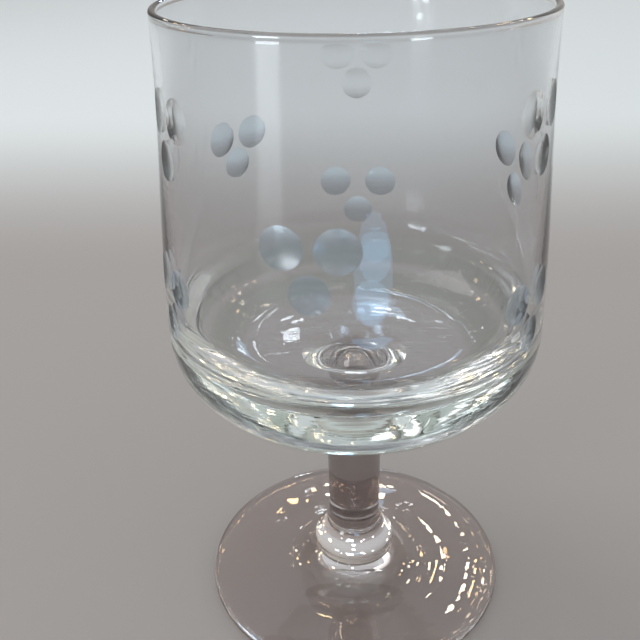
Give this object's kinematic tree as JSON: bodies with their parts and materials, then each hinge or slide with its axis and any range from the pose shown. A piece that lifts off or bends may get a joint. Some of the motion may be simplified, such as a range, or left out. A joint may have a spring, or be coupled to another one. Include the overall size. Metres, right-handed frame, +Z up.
{
  "type": "cut glass goblet",
  "caption": "Small clear goblet with a straight-sided thick-based bowl, clusters of shallow cut dots round its wall, a plain stem, a cushion collar and a round foot.",
  "frame": {"origin": "on the table, under the middle of the foot", "axes": "+Z up along the goblet's axis, -Y towards the viewer of the picture, +X to the viewer's right"},
  "size_m": [0.0728, 0.0728, 0.125],
  "materials": {
    "bowl_glass": "clear, fire-polished at the rim, with satin cut dots",
    "stem_glass": "clear, fire-polished",
    "foot_glass": "clear, fire-polished, with a faint scuffed ring underneath"
  },
  "bodies": {
    "root": {"bowl": "bowl_glass", "stem": "stem_glass", "collar": "stem_glass", "foot": "foot_glass"}
  },
  "joints": []
}
